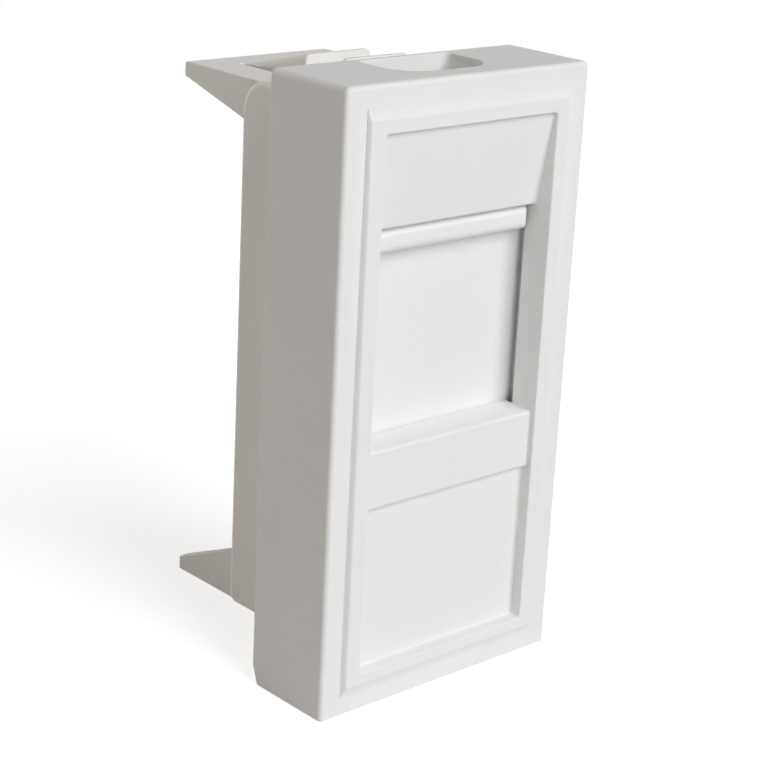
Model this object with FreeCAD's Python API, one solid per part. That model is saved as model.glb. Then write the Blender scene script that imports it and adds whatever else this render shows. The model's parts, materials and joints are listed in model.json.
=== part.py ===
"""Shuttered socket frame: a half-width wall insert that holds one keystone jack behind a sliding shutter.

Millimetres. X runs to the right seen from the front, Y to the back and Z up. The origin is the centre of
the bezel's back face, the plane that lies on the wall support. A depth is measured back from the bezel's
front face.
"""
import FreeCAD, Part
import math
import os

V = FreeCAD.Vector

# Distance under which two places count as one
slack = 1e-4

# Bezel of the front frame
module_width = 22.5
module_height = 45.0
bezel_depth = 7.75
bezel_wall = 1.3
bezel_edge_radius = 0.35
top_corner_radius = 0.5
lower_relief_height = 1.45
lower_relief_depth = 0.55

# Raised ring and the window inside it
side_border = 1.77
top_border = 1.65
bottom_border = 1.45
ring_rise = 0.36
ring_side_width = 1.48
ring_top_width = 1.68
ring_bottom_width = 1.55
ring_side_ramp = 0.2
ring_end_ramp = 0.75
ring_crest_radius = 0.3
window_corner_radius = 0.2
window_edge_radius = 0.12
window_wall_depth = 2.1

# Infill of the window
lintel_top_depth = 0.0
lintel_foot_depth = 1.1
lintel_foot_z = 12.33
ledge_depth = 0.13
ledge_top_z = -3.05
ledge_rise = 0.15
ledge_height = 4.35
label_depth = 0.6
infill_edge_radius = 0.25
infill_gap = 0.07

# Shutter
shutter_front_depth = 2.8
shutter_thickness = 1.15
shutter_side_overlap = 0.4
shutter_top_overlap = 0.5
shutter_foot_overlap = 1.55
grip_height = 1.77
grip_proud = 1.35
grip_end_gap = 0.22
grip_lintel_gap = 0.12
grip_edge_radius = 0.6
ear_length = 16.45
ear_thickness = 0.9
groove_width = 0.25
slide_gap = 0.15
side_gap = 0.1
stop_gap = 0.05
travel_gap = 0.2

# Return springs
spring_outer_radius = 0.62
spring_wire_radius = 0.13
spring_turns = 9
spring_wire_sides = 6
spring_seat_gap = 0.02
spring_floor_height = 1.2

# Carrier flange inside the bezel
flange_thickness = 1.6
flange_fit = 0.1
stop_block_width = 2.4
nib_reach = 0.45
nib_depth = 1.3
nib_length = 5.0
nib_spacing = 24.0
nib_gap = 0.03

# Bay for the jack
jack_width = 14.5
jack_height = 16.1
jack_clearance = 0.15
bay_bottom_z = -3.4
bay_rim = 0.5
bay_rim_depth = 0.6
lower_lip_depth = 8.1
latch_room_height = 2.6
latch_room_start = 3.0
bay_shelf = 1.3

# Rear box of the carrier
box_wall = 0.75
box_back_depth = 14.8
box_top_inset = 1.95
box_bottom_inset = 3.04
box_skin = 0.95
box_upper_radius = 2.4
box_lower_radius = 0.7
box_edge_radius = 0.5

# Arms behind the box
arm_width = 13.3
upper_tip_depth = 23.5
lower_tip_depth = 23.1
arm_plate = 1.05
upper_arm_inset = 2.43
lower_arm_inset = 2.33
gusset_thickness = 1.0
upper_gusset_rise = 2.4
lower_gusset_rise = 3.62
arm_slot_width = 6.8
arm_rear_bar = 2.3
lower_plate_setback = 2.8

# Latch tongue in the upper arm, with teeth for a thin and a thick support, and the same teeth fixed at the bottom
tongue_gap = 0.35
thin_support = 2.15
thick_support = 6.25
thin_tooth_inset = 0.4
thin_tooth_ramp = 3.0
thick_tooth_inset = 0.72
tooth_land = 0.3
tooth_corner_radius = 0.45

# Window in the bezel's top wall, through which a tool presses the tongue
press_width = 8.4
press_bar = 0.5
press_rear_radius = 0.5
press_front_radius = 2.5

# Derived places
half_width = module_width / 2
half_height = module_height / 2
ring_half = half_width - side_border
ring_top = half_height - top_border
ring_bottom = -half_height + bottom_border
window_half = ring_half - ring_side_width
window_top = ring_top - ring_top_width
window_bottom = ring_bottom + ring_bottom_width
cavity_half = half_width - bezel_wall
cavity_height_half = half_height - bezel_wall
ledge_back_z = ledge_top_z + ledge_rise
ledge_bottom_z = ledge_top_z - ledge_height
infill_back_depth = shutter_front_depth - infill_gap
shutter_back_depth = shutter_front_depth + shutter_thickness
flange_front_depth = shutter_back_depth + slide_gap + side_gap
flange_back_depth = flange_front_depth + flange_thickness
shutter_half = window_half + shutter_side_overlap
shutter_top = lintel_foot_z + shutter_top_overlap
shutter_bottom = ledge_top_z - shutter_foot_overlap
rail_inner = shutter_half + groove_width
ear_outer = cavity_half - side_gap
ear_front_depth = shutter_back_depth - ear_thickness
ear_foot = shutter_top - ear_length
grip_top = lintel_foot_z - grip_lintel_gap
grip_bottom = grip_top - grip_height
shutter_travel = grip_bottom - ledge_back_z - travel_gap
spring_floor_z = -cavity_height_half + spring_floor_height
bay_half = jack_width / 2 + jack_clearance
bay_top_z = bay_bottom_z + jack_height + 2 * jack_clearance
box_half = bay_half + box_wall
box_top_z = half_height - box_top_inset
box_bottom_z = -half_height + box_bottom_inset
upper_arm_z = half_height - upper_arm_inset
lower_arm_z = -half_height + lower_arm_inset
arm_half = arm_width / 2
slot_half = arm_slot_width / 2
slot_end_depth = upper_tip_depth - arm_rear_bar
tongue_half = slot_half - tongue_gap
press_half = press_width / 2


def back(depth):
    """Y of a depth behind the bezel's front face."""
    return depth - bezel_depth


def block(x_low, x_high, depth_low, depth_high, z_low, z_high):
    """Box between two corners, given in X, depth and Z."""
    corner = V(x_low, back(depth_low), z_low)
    return Part.makeBox(x_high - x_low, depth_high - depth_low, z_high - z_low, corner)


def both_sides(shape):
    """The shape and its mirror image in the middle plane."""
    return [shape, shape.mirror(V(0, 0, 0), V(1, 0, 0))]


def outline(corners):
    """Closed wire through (depth, z, radius) corners in the plane X = 0, each rounded by its radius."""
    edges = []
    starts = []
    ends = []
    mids = []
    count = len(corners)
    for i in range(count):
        before = V(0, back(corners[i - 1][0]), corners[i - 1][1])
        here = V(0, back(corners[i][0]), corners[i][1])
        after = V(0, back(corners[(i + 1) % count][0]), corners[(i + 1) % count][1])
        radius = corners[i][2]
        to_before = (before - here).normalize()
        to_after = (after - here).normalize()
        half_angle = to_before.getAngle(to_after) / 2
        reach = radius / math.tan(half_angle)
        starts.append(here + to_before * reach)
        ends.append(here + to_after * reach)
        bisector = (to_before + to_after).normalize()
        mids.append(here + bisector * (radius / math.sin(half_angle) - radius))
    for i in range(count):
        if corners[i][2] > 0:
            edges.append(Part.Arc(starts[i], mids[i], ends[i]).toShape())
        edges.append(Part.LineSegment(ends[i], starts[(i + 1) % count]).toShape())
    return Part.Wire(Part.__sortEdges__(edges))


def profile(corners, x_low, x_high):
    """Side profile of (depth, z, radius) corners, extruded across X."""
    face = Part.Face(outline(corners))
    solid = face.extrude(V(x_high - x_low, 0, 0))
    solid.translate(V(x_low, 0, 0))
    return solid


def edges_where(shape, test):
    """Edges whose ends both meet the test on a point."""
    found = []
    for edge in shape.Edges:
        if all(test(vertex.Point) for vertex in edge.Vertexes):
            found.append(edge)
    return found


def near(a, b):
    return abs(a - b) < slack


def side_edges(shape, half, depth_low):
    """Edges of a profile's two side faces that run back from a depth."""
    found = edges_where(shape, lambda p: near(abs(p.x), half))
    return [e for e in found if near(e.Vertexes[0].X, e.Vertexes[1].X)
            and e.CenterOfMass.y > back(depth_low) + slack]


def upright_edges(shape):
    """Edges that run straight up."""
    return [e for e in shape.Edges if near(e.Vertexes[0].X, e.Vertexes[-1].X)
            and near(e.Vertexes[0].Y, e.Vertexes[-1].Y)]


def deep_edges(shape, z_low):
    """Edges above a height that run straight back."""
    found = edges_where(shape, lambda p: p.z > z_low - slack)
    return [e for e in found if near(e.Vertexes[0].X, e.Vertexes[1].X)
            and near(e.Vertexes[0].Z, e.Vertexes[1].Z)]


def round_front(shape, depth, radius):
    """Rounds the edges that lie in the plane at this depth."""
    return shape.makeFillet(radius, edges_where(shape, lambda p: near(p.y, back(depth))))


def ramped_bar(low, high, ramp, reach):
    """Bar on the bezel's face, from a low to a high edge, with a ramp and a rounded crest along both."""
    return profile([(window_wall_depth, low, 0),
                    (0, low, 0),
                    (-ring_rise, low + ramp, ring_crest_radius),
                    (-ring_rise, high - ramp, ring_crest_radius),
                    (0, high, 0),
                    (window_wall_depth, high, 0)], -reach, reach)


def front_ring():
    """Raised ring around the window, where an upright and a level bar meet, so that it slopes on all sides."""
    level = ramped_bar(ring_bottom, ring_top, ring_end_ramp, half_height)
    upright = ramped_bar(-ring_half, ring_half, ring_side_ramp, half_height)
    upright.rotate(V(0, 0, 0), V(0, 1, 0), 90)
    return level.common(upright)


def bezel_shell():
    """Outer block with rounded front edges, the raised ring on its face, and the open cavity behind."""
    bezel = block(-half_width, half_width, 0, bezel_depth, -half_height, half_height)
    bezel = bezel.makeFillet(top_corner_radius, deep_edges(bezel, half_height))
    front = edges_where(bezel, lambda p: near(p.y, back(0)))
    upper_front = [e for e in front if e.CenterOfMass.z > -half_height + slack]
    bezel = bezel.makeFillet(bezel_edge_radius, upper_front)
    window = block(-window_half, window_half, -ring_rise, window_wall_depth, window_bottom, window_top)
    window = window.makeFillet(window_corner_radius, deep_edges(window, window_bottom))
    cavity = block(-cavity_half, cavity_half, window_wall_depth, bezel_depth,
                   -cavity_height_half, cavity_height_half)
    shell = bezel.fuse(front_ring()).cut(window)
    mouth = edges_where(shell, lambda p: near(p.y, back(-ring_rise)) and abs(p.x) < window_half + slack
                        and window_bottom - slack < p.z < window_top + slack)
    return shell.makeFillet(window_edge_radius, mouth).cut(cavity)


def window_infill():
    """Sloped lintel above the shutter, and the ledge with the label panel below it."""
    lintel = profile([(lintel_top_depth, window_top, 0),
                      (lintel_foot_depth, lintel_foot_z, infill_edge_radius),
                      (infill_back_depth, lintel_foot_z, 0),
                      (infill_back_depth, window_top, 0)], -window_half, window_half)
    ledge = profile([(ledge_depth, ledge_top_z, infill_edge_radius),
                     (infill_back_depth, ledge_back_z, 0),
                     (infill_back_depth, window_bottom, 0),
                     (label_depth, window_bottom, 0),
                     (label_depth, ledge_bottom_z, 0),
                     (ledge_depth, ledge_bottom_z, infill_edge_radius)], -window_half, window_half)
    return [lintel, ledge]


def carrier_stops():
    """Blocks that the carrier's flange bears on, which also stop the shutter and seat the springs."""
    upper_stop = block(cavity_half - stop_block_width, cavity_half, window_wall_depth, flange_front_depth,
                       shutter_top + stop_gap, cavity_height_half)
    spring_floor = block(-cavity_half, cavity_half, window_wall_depth, flange_front_depth,
                         -cavity_height_half, spring_floor_z)
    return both_sides(upper_stop) + [spring_floor]


def snap_nibs():
    """Wedges on the side walls that hold the flange from behind."""
    catch = flange_back_depth + nib_gap
    nibs = []
    for level in (-nib_spacing / 2, nib_spacing / 2):
        corners = [V(cavity_half, back(catch), level - nib_length / 2),
                   V(cavity_half - nib_reach, back(catch), level - nib_length / 2),
                   V(cavity_half, back(catch + nib_depth), level - nib_length / 2)]
        wedge = Part.Face(Part.makePolygon(corners + corners[:1]))
        nibs += both_sides(wedge.extrude(V(0, 0, nib_length)))
    return nibs


def front_frame():
    frame = bezel_shell().multiFuse(window_infill() + carrier_stops() + snap_nibs())
    press_window = block(-press_half, press_half, window_wall_depth, bezel_depth - press_bar,
                         cavity_height_half, half_height)
    rear_corners = [e for e in upright_edges(press_window) if e.CenterOfMass.y > back(window_wall_depth) + slack]
    press_window = press_window.makeFillet(press_rear_radius, rear_corners)
    front_corners = [e for e in upright_edges(press_window) if near(e.CenterOfMass.y, back(window_wall_depth))]
    press_window = press_window.makeFillet(press_front_radius, front_corners)
    relief = profile([(bezel_depth, -half_height, 0),
                      (bezel_depth, -half_height + lower_relief_height, 0),
                      (bezel_depth - lower_relief_depth, -half_height, 0)], -half_width, half_width)
    return frame.cut(press_window).cut(relief).removeSplitter()


def shutter():
    """Plate with a rounded grip rib, and a thin ear with a guide rail along each side."""
    plate = block(-shutter_half, shutter_half, shutter_front_depth, shutter_back_depth,
                  shutter_bottom, shutter_top)
    grip_half = window_half - grip_end_gap
    grip = block(-grip_half, grip_half, shutter_front_depth - grip_proud, shutter_front_depth,
                 grip_bottom, grip_top)
    grip = round_front(grip, shutter_front_depth - grip_proud, grip_edge_radius)
    ear = block(shutter_half, ear_outer, ear_front_depth, shutter_back_depth, ear_foot, shutter_top)
    rail = block(rail_inner, ear_outer, window_wall_depth + slide_gap, ear_front_depth, ear_foot, shutter_top)
    return plate.multiFuse([grip] + both_sides(ear) + both_sides(rail)).removeSplitter()


def return_spring(side):
    """Compression spring standing on the frame's floor, under the shutter's guide rail on one side."""
    centre_x = side * (rail_inner + ear_outer) / 2
    centre_y = back((window_wall_depth + flange_front_depth) / 2)
    foot = spring_floor_z + spring_seat_gap + spring_wire_radius
    length = ear_foot - spring_floor_z - 2 * spring_seat_gap - 2 * spring_wire_radius
    coil_radius = spring_outer_radius - spring_wire_radius
    coil = Part.makeHelix(length / spring_turns, length, coil_radius)
    corners = []
    for i in range(spring_wire_sides + 1):
        turn = 2 * math.pi * i / spring_wire_sides
        corners.append(V(coil_radius + spring_wire_radius * math.cos(turn), 0,
                         spring_wire_radius * math.sin(turn)))
    wire_end = Part.makePolygon(corners)
    solid = Part.Wire(coil).makePipeShell([wire_end], True, True)
    solid.translate(V(centre_x, centre_y, foot))
    return solid


def carrier_flange():
    """Plate inside the bezel that backs the shutter and carries the bay's front rim."""
    flange = block(-cavity_half + flange_fit, cavity_half - flange_fit, flange_front_depth, flange_back_depth,
                   -cavity_height_half + flange_fit, cavity_height_half - flange_fit)
    port = block(-bay_half + bay_rim, bay_half - bay_rim, flange_front_depth, flange_back_depth,
                 bay_bottom_z + bay_rim, bay_top_z - bay_rim)
    return flange.cut(port)


def carrier_box():
    """Rear box with rounded rear corners, hollowed above and below the bay."""
    box = profile([(flange_front_depth, box_top_z, 0),
                   (box_back_depth, box_top_z, box_upper_radius),
                   (box_back_depth, box_bottom_z, box_lower_radius),
                   (flange_front_depth, box_bottom_z, 0)], -box_half, box_half)
    box = box.makeFillet(box_edge_radius, side_edges(box, box_half, flange_front_depth))
    shelf_top = bay_top_z + latch_room_height + bay_shelf
    upper_room = block(-bay_half, bay_half, flange_back_depth, box_back_depth,
                       shelf_top, box_top_z - box_skin)
    lower_room = block(-bay_half, bay_half, flange_back_depth, box_back_depth,
                       box_bottom_z + box_skin, bay_bottom_z - bay_shelf)
    return box.cut(upper_room).cut(lower_room)


def jack_bay():
    """Room for the jack: its body, the raised latch behind a shoulder, and the free end of the lower lip."""
    seat = flange_front_depth + bay_rim_depth
    body = block(-bay_half, bay_half, seat, box_back_depth, bay_bottom_z, bay_top_z)
    latch_room = block(-bay_half, bay_half, seat + latch_room_start, box_back_depth,
                       bay_top_z, bay_top_z + latch_room_height)
    port = block(-bay_half + bay_rim, bay_half - bay_rim, flange_front_depth, seat,
                 bay_bottom_z + bay_rim, bay_top_z - bay_rim)
    lip_end = block(-bay_half, bay_half, seat + lower_lip_depth, box_back_depth,
                    bay_bottom_z - bay_shelf, bay_bottom_z)
    return body.multiFuse([latch_room, port, lip_end])


def gusset(tip_depth, plate_z, tip_z, root_z):
    """Triangular web under an arm's side edge, from the tip to the rear box."""
    web = profile([(tip_depth, plate_z, 0), (tip_depth, tip_z, 0), (box_back_depth, root_z, 0),
                   (flange_back_depth, root_z, 0), (flange_back_depth, plate_z, 0)],
                  arm_half - gusset_thickness, arm_half)
    return both_sides(web)


def catch_teeth(surface_z, root_z, tail_depth):
    """Teeth on a plate's outer face that catch behind a thin and a thick support, each with a ramp behind it."""
    thin_tail = bezel_depth + thin_support + tooth_land + thin_tooth_ramp
    teeth = []
    for support, inset, tail in ((thin_support, thin_tooth_inset, thin_tail),
                                 (thick_support, thick_tooth_inset, tail_depth)):
        face_depth = bezel_depth + support
        tip_z = math.copysign(half_height - inset, surface_z)
        tooth = profile([(face_depth, root_z, 0),
                         (face_depth, tip_z, 0),
                         (face_depth + tooth_land, tip_z, 0),
                         (tail, surface_z, 0),
                         (tail, root_z, 0)], -tongue_half, tongue_half)
        ridge = [e for e in side_edges(tooth, tongue_half, face_depth)
                 if abs(e.CenterOfMass.z) > abs(surface_z) + slack]
        teeth.append(tooth.makeFillet(tooth_corner_radius, ridge))
    return teeth


def upper_arm():
    """Plate closed by a bar at the rear, on two gussets."""
    under = upper_arm_z - arm_plate
    plate = block(-arm_half, arm_half, flange_back_depth, upper_tip_depth, under, upper_arm_z)
    return [plate] + gusset(upper_tip_depth, upper_arm_z, under, under - upper_gusset_rise)


def tongue_slot():
    """Slot in the upper arm and the box's top for the tongue to move in."""
    return block(-slot_half, slot_half, flange_back_depth, slot_end_depth, upper_arm_z - arm_plate, box_top_z)


def latch_tongue():
    """Springy tongue that runs forward from the arm's rear bar to the press window, with teeth on its top."""
    under = upper_arm_z - arm_plate
    bar = block(-tongue_half, tongue_half, flange_back_depth + tongue_gap, slot_end_depth, under, upper_arm_z)
    return [bar] + catch_teeth(upper_arm_z, upper_arm_z - arm_plate / 2, slot_end_depth - tongue_gap)


def lower_arm():
    """Plate that ends short of its two gussets, with fixed teeth under it."""
    upper = lower_arm_z + arm_plate
    plate_end = lower_tip_depth - lower_plate_setback
    plate = block(-arm_half, arm_half, flange_back_depth, plate_end, lower_arm_z, upper)
    web = gusset(lower_tip_depth, lower_arm_z, upper, upper + lower_gusset_rise)
    return [plate] + catch_teeth(lower_arm_z, lower_arm_z + arm_plate / 2, plate_end) + web


def jack_carrier():
    solid = carrier_flange().multiFuse([carrier_box()] + upper_arm() + lower_arm())
    solid = solid.cut(jack_bay()).cut(tongue_slot())
    return solid.multiFuse(latch_tongue()).removeSplitter()


nodes = {
    "front_frame": front_frame(),
    "shutter": shutter(),
    "jack_carrier": jack_carrier(),
    "left_spring": return_spring(-1),
    "right_spring": return_spring(1),
}

os.makedirs("parts", exist_ok=True)
for name, shape in nodes.items():
    solids = shape.Solids
    print(name, shape.isValid(), len(solids), "solid", round(shape.Volume, 2), "mm3")
    solids[0].exportStep(f"parts/{name}.step")
print("shutter travel", round(shutter_travel, 2))
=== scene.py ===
"""Looks of the shuttered socket frame: white moulded plastics, spring wire, studio light and the camera.

Lengths in the named values are millimetres in the part's own frame: X to the right seen from the front,
Y to the back and Z up, with the origin at the centre of the bezel's back face.
"""
import json
import math

import bmesh
import bpy
from mathutils import Matrix, Vector

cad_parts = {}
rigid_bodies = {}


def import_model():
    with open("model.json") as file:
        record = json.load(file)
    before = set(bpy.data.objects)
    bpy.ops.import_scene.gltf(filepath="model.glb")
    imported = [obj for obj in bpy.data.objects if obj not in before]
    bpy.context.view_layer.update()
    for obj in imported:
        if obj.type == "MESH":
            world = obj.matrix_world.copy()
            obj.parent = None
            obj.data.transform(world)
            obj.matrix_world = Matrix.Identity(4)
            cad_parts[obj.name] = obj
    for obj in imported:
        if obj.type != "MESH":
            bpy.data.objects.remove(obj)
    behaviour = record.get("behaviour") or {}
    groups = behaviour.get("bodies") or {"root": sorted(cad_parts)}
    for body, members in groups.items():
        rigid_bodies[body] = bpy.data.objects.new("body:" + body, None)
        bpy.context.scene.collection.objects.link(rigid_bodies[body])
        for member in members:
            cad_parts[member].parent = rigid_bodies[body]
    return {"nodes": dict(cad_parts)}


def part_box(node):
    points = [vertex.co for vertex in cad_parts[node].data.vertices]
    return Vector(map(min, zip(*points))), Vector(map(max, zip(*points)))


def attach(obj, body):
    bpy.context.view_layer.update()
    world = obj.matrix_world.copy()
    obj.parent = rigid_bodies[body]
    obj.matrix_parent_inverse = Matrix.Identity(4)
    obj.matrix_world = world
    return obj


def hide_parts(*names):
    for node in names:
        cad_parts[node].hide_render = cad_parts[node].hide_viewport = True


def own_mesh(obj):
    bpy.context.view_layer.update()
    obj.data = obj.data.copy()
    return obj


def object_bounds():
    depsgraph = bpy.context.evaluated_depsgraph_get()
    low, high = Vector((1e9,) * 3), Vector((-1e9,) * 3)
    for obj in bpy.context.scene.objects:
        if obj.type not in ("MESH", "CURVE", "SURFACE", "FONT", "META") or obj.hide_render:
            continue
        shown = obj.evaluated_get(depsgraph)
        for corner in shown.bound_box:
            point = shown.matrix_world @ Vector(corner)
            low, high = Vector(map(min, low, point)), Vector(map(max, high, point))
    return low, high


MM = 0.001

# Camera
camera_place = Vector((-95.04, -104.022, 45.815))
camera_aim = Vector((-6.808, -7.75, 1.857))
camera_roll = math.radians(2.976)
camera_lens = 95.163
camera_sensor = 36.0
camera_nearest = 1.0

# Mouldings
join_distance = 0.001
flat_angle = math.radians(0.6)
sharp_angle = math.radians(40)
edge_round = {"front_frame": 0.11, "shutter": 0.14, "jack_carrier": 0.11}
edge_segments = 3
face_weight = 50

# Noise in every finish
noise_detail = 3.0
noise_roughness = 0.5
noise_middle = 0.5

# Moulded plastic
flow_size = 7.0
flow_start = 0.3
flow_gain = 2.2
flow_shine = 0.12
wave_size = 4.0
wave_detail = 1.0
wave_depth = 0.03
grain_size = 0.09
grain_roughness = 0.6
grain_shine = 0.16
speck_cell = 1.9
speck_radius = 0.075
speck_strength = 0.45
speck_tone = (0.22, 0.20, 0.17)
plastic_ior = 1.5
glow_share = 0.12
glow_radius = (1.0, 0.75, 0.45)
glow_depth = 0.4

# Spring wire
wire_bright = (0.66, 0.66, 0.65)
wire_dull = (0.52, 0.51, 0.50)
wire_patch_size = 0.8
wire_line_size = 0.04
wire_line_detail = 2.0
wire_line_depth = 0.002
wire_line_strength = 0.6
wire_roughness = 0.24
wire_roughness_range = 0.18

# Return springs, with the pitch of their closed turns in wire radii
spring_turns = 10
spring_closed_turns = 1.5
spring_closed_pitch = 2.05
spring_wire_radius = 0.12
spring_steps = 28
spring_wire_sides = 12

# Studio
plain_white = (1.0, 1.0, 1.0)
paper_dark = (0.73, 0.73, 0.73)
paper_light = (0.77, 0.77, 0.77)
fibre_size = 0.6
floor_size = 4000.0
floor_gap = 0.02
floor_lift = 0.72
shadow_near = 120.0
shadow_far = 320.0
world_level = 0.08
key_place = Vector((75.0, -975.0, 670.0))
key_size = 840.0
key_level = 0.85
key_colour = (0.98, 0.985, 1.0)
side_place = Vector((-470.0, 240.0, 70.0))
side_size = 520.0
side_level = 0.195
side_colour = (1.0, 0.82, 0.64)
back_place = Vector((-50.0, 900.0, 95.0))
back_size = 220.0
back_level = 0.22


class Sock:
    """One output of a finish's nodes. Arithmetic on it adds Math nodes."""

    def __init__(self, finish, socket):
        self.finish = finish
        self.socket = socket

    def __add__(self, other):
        return self.finish.calc("ADD", self, other)

    def __radd__(self, other):
        return self.finish.calc("ADD", other, self)

    def __sub__(self, other):
        return self.finish.calc("SUBTRACT", self, other)

    def __rsub__(self, other):
        return self.finish.calc("SUBTRACT", other, self)

    def __mul__(self, other):
        return self.finish.calc("MULTIPLY", self, other)

    def __rmul__(self, other):
        return self.finish.calc("MULTIPLY", other, self)

    def __lt__(self, other):
        return self.finish.calc("LESS_THAN", self, other)

    def __gt__(self, other):
        return self.finish.calc("GREATER_THAN", self, other)


class Finish:
    """A node tree under construction, of a material or of the world."""

    def __init__(self, owner):
        owner.use_nodes = True
        self.owner = owner
        self.tree = owner.node_tree
        self.tree.nodes.clear()

    def node(self, kind, settings=None, sockets=None, output=0):
        """Adds a node, sets it up, fills its sockets with values or links, and returns one output."""
        made = self.tree.nodes.new(kind)
        for name, value in (settings or {}).items():
            setattr(made, name, value)
        for name, value in (sockets or {}).items():
            if isinstance(value, Sock):
                self.tree.links.new(value.socket, made.inputs[name])
            else:
                made.inputs[name].default_value = value
        if len(made.outputs) == 0:
            return made
        return Sock(self, made.outputs[output])

    def calc(self, operation, *values):
        return self.node("ShaderNodeMath", {"operation": operation}, dict(enumerate(values)))

    def clamp(self, value):
        return self.node("ShaderNodeClamp", None, {"Value": value})

    def place(self):
        """Place on the piece in millimetres."""
        metres = self.node("ShaderNodeTexCoord", None, None, "Object")
        return self.node("ShaderNodeVectorMath", {"operation": "SCALE"}, {0: metres, "Scale": 1 / MM})

    def noise(self, place, size, detail=noise_detail, roughness=noise_roughness):
        """Soft noise from 0 to 1 whose features are about this size in millimetres."""
        return self.node("ShaderNodeTexNoise", None, {"Vector": place, "Scale": 1 / size, "Detail": detail,
                                                      "Roughness": roughness})

    def blend(self, share, first, second):
        """Colour that goes from the first to the second as the share goes from 0 to 1."""
        return self.node("ShaderNodeMix", {"data_type": "RGBA"}, {0: share, 6: first, 7: second}, 2)

    def bump(self, height, depth, strength=1.0, under=None):
        """Normal of a surface that the height raises by up to a depth in millimetres."""
        sockets = {"Strength": strength, "Distance": depth * MM, "Height": height}
        if under is not None:
            sockets["Normal"] = under
        return self.node("ShaderNodeBump", None, sockets)

    def mix_shaders(self, share, first, second):
        return self.node("ShaderNodeMixShader", None, {0: share, 1: first, 2: second})

    def output(self, shader):
        self.node("ShaderNodeOutputMaterial", None, {"Surface": shader})


def colour(red, green, blue):
    return (red, green, blue, 1.0)


def specks(finish, place, share):
    """Mask of tiny round specks: a share of the cells of a random grid holds one each."""
    grid = {"Vector": place, "Scale": 1 / speck_cell}
    near = finish.node("ShaderNodeTexVoronoi", {"feature": "F1"}, grid, "Distance")
    pick = finish.node("ShaderNodeTexVoronoi", {"feature": "F1"}, grid, "Color")
    chance = finish.node("ShaderNodeSeparateColor", None, {"Color": pick}, "Red")
    return (near < speck_radius / speck_cell) * (chance < share)


def moulded_plastic(name, base, shade, roughness, grain_depth, speck_share):
    """White moulded plastic: a fine satin skin, faint flow tones and sink waves, and a few dark specks."""
    finish = Finish(bpy.data.materials.new(name))
    place = finish.place()
    flow = finish.noise(place, flow_size)
    wave = finish.noise(place, wave_size, wave_detail)
    grain = finish.noise(place, grain_size, roughness=grain_roughness)
    tone = finish.blend(finish.clamp((flow - flow_start) * flow_gain), base, shade)
    tone = finish.blend(specks(finish, place, speck_share) * speck_strength, tone, colour(*speck_tone))
    skin = finish.bump(wave, wave_depth, under=finish.bump(grain, grain_depth))
    uneven = (grain - noise_middle) * grain_shine + (flow - noise_middle) * flow_shine
    shader = finish.node("ShaderNodeBsdfPrincipled", None, {
        "Base Color": tone, "Roughness": finish.clamp(roughness + uneven), "Normal": skin, "IOR": plastic_ior,
        "Subsurface Weight": glow_share, "Subsurface Radius": glow_radius,
        "Subsurface Scale": glow_depth * MM})
    finish.output(shader)
    return finish.owner


def bezel_plastic():
    return moulded_plastic("bezel_plastic", base=colour(0.888, 0.884, 0.87),
                           shade=colour(0.868, 0.864, 0.848),
                           roughness=0.62, grain_depth=0.0035, speck_share=0.05)


def shutter_plastic():
    return moulded_plastic("shutter_plastic", base=colour(0.888, 0.884, 0.871),
                           shade=colour(0.868, 0.864, 0.849),
                           roughness=0.53, grain_depth=0.0022, speck_share=0.03)


def carrier_plastic():
    # The carrier's own plastic is warmer than the bezel's. Its colour is also set lighter than the bezel's as
    # painted light, standing in for the light that reaches the box behind the bezel.
    return moulded_plastic("carrier_plastic", base=colour(0.935, 0.92, 0.89),
                           shade=colour(0.92, 0.903, 0.87),
                           roughness=0.6, grain_depth=0.0045, speck_share=0.05)


def spring_wire():
    """Drawn steel wire with a fine grain and a few dull patches."""
    finish = Finish(bpy.data.materials.new("spring_wire"))
    place = finish.place()
    patch = finish.noise(place, wire_patch_size)
    line = finish.noise(place, wire_line_size, wire_line_detail)
    shader = finish.node("ShaderNodeBsdfPrincipled", None, {
        "Base Color": finish.blend(patch, colour(*wire_bright), colour(*wire_dull)), "Metallic": 1.0,
        "Roughness": finish.clamp(wire_roughness + patch * wire_roughness_range),
        "Normal": finish.bump(line, wire_line_depth, wire_line_strength)})
    finish.output(shader)
    return finish.owner


def seen_ray(finish):
    """1 for the rays that show the background: from the camera, mirrored or through clear matter."""
    camera = finish.node("ShaderNodeLightPath", None, None, "Is Camera Ray")
    glossy = finish.node("ShaderNodeLightPath", None, None, "Is Glossy Ray")
    through = finish.node("ShaderNodeLightPath", None, None, "Is Transmission Ray")
    return finish.clamp(camera + glossy + through)


def floor_paper():
    """White paper: near the object it keeps the shadow and is white where lit, and far out plain white."""
    finish = Finish(bpy.data.materials.new("floor_paper"))
    place = finish.place()
    fibre = finish.noise(place, fibre_size)
    tone = finish.blend(fibre, colour(*paper_dark), colour(*paper_light))
    paper = finish.node("ShaderNodeBsdfDiffuse", None, {"Color": tone})
    white = finish.node("ShaderNodeEmission", None, {"Color": colour(*plain_white), "Strength": 1.0})
    lift = finish.node("ShaderNodeEmission", None, {"Color": colour(*plain_white), "Strength": floor_lift})
    lifted = finish.node("ShaderNodeAddShader", None, {0: paper, 1: lift})
    reach = finish.node("ShaderNodeVectorMath", {"operation": "LENGTH"}, {0: place}, "Value")
    fade = finish.clamp((reach - shadow_near) * (1 / (shadow_far - shadow_near)))
    shown = finish.mix_shaders(fade, lifted, white)
    finish.output(finish.mix_shaders(seen_ray(finish), paper, shown))
    return finish.owner


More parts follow.
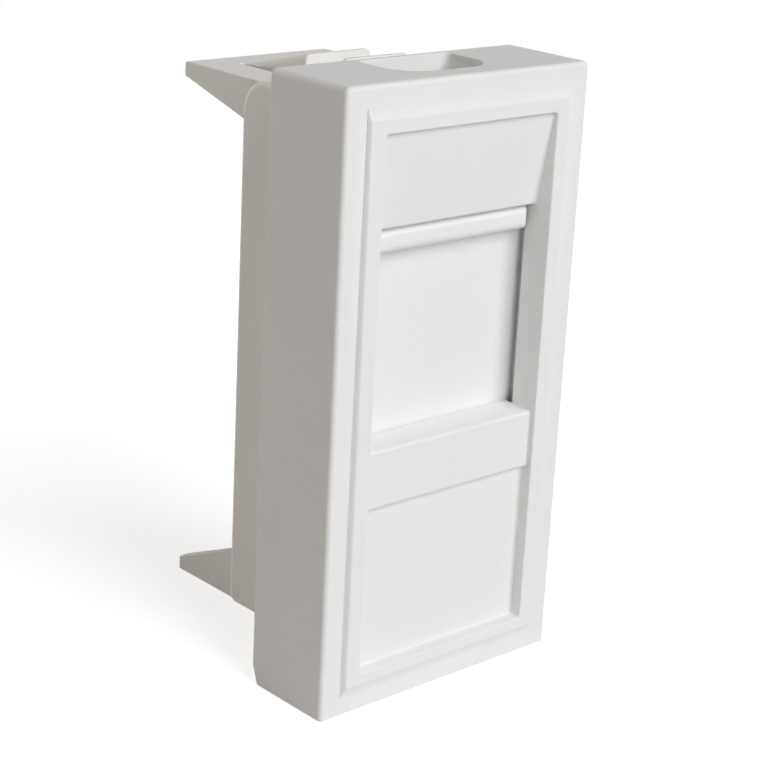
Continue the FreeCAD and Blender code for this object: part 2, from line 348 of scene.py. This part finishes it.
def smooth_shade_group():
    """Geometry nodes of a modifier that shades every face smooth."""
    group = bpy.data.node_groups.new("shade_smooth", "GeometryNodeTree")
    group.interface.new_socket("Geometry", in_out="INPUT", socket_type="NodeSocketGeometry")
    group.interface.new_socket("Geometry", in_out="OUTPUT", socket_type="NodeSocketGeometry")
    start = group.nodes.new("NodeGroupInput")
    smooth = group.nodes.new("GeometryNodeSetShadeSmooth")
    end = group.nodes.new("NodeGroupOutput")
    group.links.new(start.outputs[0], smooth.inputs[0])
    group.links.new(smooth.outputs[0], end.inputs[0])
    return group


def finish_moulding(piece, width, material, smooth_group):
    """Gives a moulding its plastic, and rounds the edges that the solid leaves sharp."""
    piece.data.materials.clear()
    piece.data.materials.append(material)
    join = piece.modifiers.new("join_faces", "WELD")
    join.merge_threshold = join_distance * MM
    flats = piece.modifiers.new("merge_flats", "DECIMATE")
    flats.decimate_type = "DISSOLVE"
    flats.angle_limit = flat_angle
    smooth = piece.modifiers.new("shade_smooth", "NODES")
    smooth.node_group = smooth_group
    bevel = piece.modifiers.new("edge_round", "BEVEL")
    bevel.width = width * MM
    bevel.segments = edge_segments
    bevel.limit_method = "ANGLE"
    bevel.angle_limit = sharp_angle
    bevel.use_clamp_overlap = False
    even = piece.modifiers.new("even_shading", "WEIGHTED_NORMAL")
    even.weight = face_weight


def coil_height(turn, turns, length, closed, pitch_closed):
    """Height along a spring after this many turns: slow at its closed ends, even between them."""
    open_turns = turns - 2 * closed
    pitch = (length - 2 * closed * pitch_closed) / open_turns
    if turn < closed:
        return turn * pitch_closed
    if turn > turns - closed:
        return length - (turns - turn) * pitch_closed
    return closed * pitch_closed + (turn - closed) * pitch


def return_spring(node, material):
    """Round wire wound with closed ends, in the room that the CAD spring holds."""
    low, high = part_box(node)
    centre = (low + high) / 2
    wire = spring_wire_radius * MM
    coil = (high.x - low.x) / 2 - wire
    foot = low.z + wire
    length = high.z - low.z - 2 * wire
    mesh = bmesh.new()
    rings = []
    for step in range(spring_turns * spring_steps + 1):
        turn = step / spring_steps
        angle = 2 * math.pi * turn
        height = coil_height(turn, spring_turns, length, spring_closed_turns, spring_closed_pitch * wire)
        outward = Vector((math.cos(angle), math.sin(angle), 0))
        middle = Vector((centre.x, centre.y, foot + height)) + outward * coil
        ring = []
        for side in range(spring_wire_sides):
            way = 2 * math.pi * side / spring_wire_sides
            around = outward * math.cos(way) + Vector((0, 0, math.sin(way)))
            ring.append(mesh.verts.new(middle + around * wire))
        rings.append(ring)
    for first, second in zip(rings, rings[1:]):
        for side in range(spring_wire_sides):
            after = (side + 1) % spring_wire_sides
            mesh.faces.new((first[side], first[after], second[after], second[side]))
    mesh.faces.new(rings[0][::-1])
    mesh.faces.new(rings[-1])
    bmesh.ops.recalc_face_normals(mesh, faces=mesh.faces)
    data = bpy.data.meshes.new("coiled_" + node)
    mesh.to_mesh(data)
    mesh.free()
    data.shade_smooth()
    data.materials.append(material)
    spring = bpy.data.objects.new("coiled_" + node, data)
    bpy.context.scene.collection.objects.link(spring)
    return spring


def place_spring(node, material):
    """Puts a spring on the frame, in place of the CAD spring."""
    spring = return_spring(node, material)
    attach(spring, "frame")
    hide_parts(node)
    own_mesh(spring)


def stand_floor(level):
    """Large plain floor under the object."""
    half = floor_size / 2 * MM
    corners = [(-half, -half, level), (half, -half, level), (half, half, level), (-half, half, level)]
    mesh = bpy.data.meshes.new("floor")
    mesh.from_pydata(corners, [], [(0, 1, 2, 3)])
    mesh.materials.append(floor_paper())
    floor = bpy.data.objects.new("floor", mesh)
    bpy.context.scene.collection.objects.link(floor)


def area_light(name, place, size, level, tint=plain_white):
    """Square soft light aimed at the origin. Its level is what it adds to a white face turned towards it."""
    lamp = bpy.data.lights.new(name, "AREA")
    lamp.size = size * MM
    lamp.color = tint
    lamp.energy = level * math.pi ** 2 * (place.length * MM) ** 2
    holder = bpy.data.objects.new(name, lamp)
    holder.location = place * MM
    holder.rotation_euler = (-place).to_track_quat("-Z", "Y").to_euler()
    bpy.context.scene.collection.objects.link(holder)


def even_world():
    """Even grey light all round, with a white background."""
    world = bpy.data.worlds.new("studio")
    bpy.context.scene.world = world
    finish = Finish(world)
    tone = colour(*plain_white)
    light = finish.node("ShaderNodeBackground", None, {"Color": tone, "Strength": world_level})
    white = finish.node("ShaderNodeBackground", None, {"Color": tone, "Strength": 1.0})
    mixed = finish.mix_shaders(seen_ray(finish), light, white)
    finish.node("ShaderNodeOutputWorld", None, {"Surface": mixed})


def set_camera():
    """Camera at the photograph's place, turned about its own line of sight by a small roll."""
    camera = bpy.data.cameras.new("camera")
    camera.lens = camera_lens
    camera.sensor_width = camera_sensor
    camera.clip_start = camera_nearest * MM
    holder = bpy.data.objects.new("camera", camera)
    aim = (camera_aim - camera_place).to_track_quat("-Z", "Y").to_matrix()
    turned = aim @ Matrix.Rotation(camera_roll, 3, "Z")
    holder.matrix_world = Matrix.Translation(camera_place * MM) @ turned.to_4x4()
    bpy.context.scene.collection.objects.link(holder)
    bpy.context.scene.camera = holder


for left_over in list(bpy.data.objects):
    bpy.data.objects.remove(left_over)

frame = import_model()
cad_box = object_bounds()

plastics = {"front_frame": bezel_plastic(), "shutter": shutter_plastic(), "jack_carrier": carrier_plastic()}
smooth_group = smooth_shade_group()
for node, width in edge_round.items():
    finish_moulding(frame["nodes"][node], width, plastics[node], smooth_group)
wire_steel = spring_wire()
for node in ("left_spring", "right_spring"):
    place_spring(node, wire_steel)

stand_floor(cad_box[0][2] - floor_gap * MM)
even_world()
area_light("key", key_place, key_size, key_level, key_colour)
area_light("side", side_place, side_size, side_level, side_colour)
area_light("back", back_place, back_size, back_level)
set_camera()
bpy.context.scene.view_settings.view_transform = "Standard"
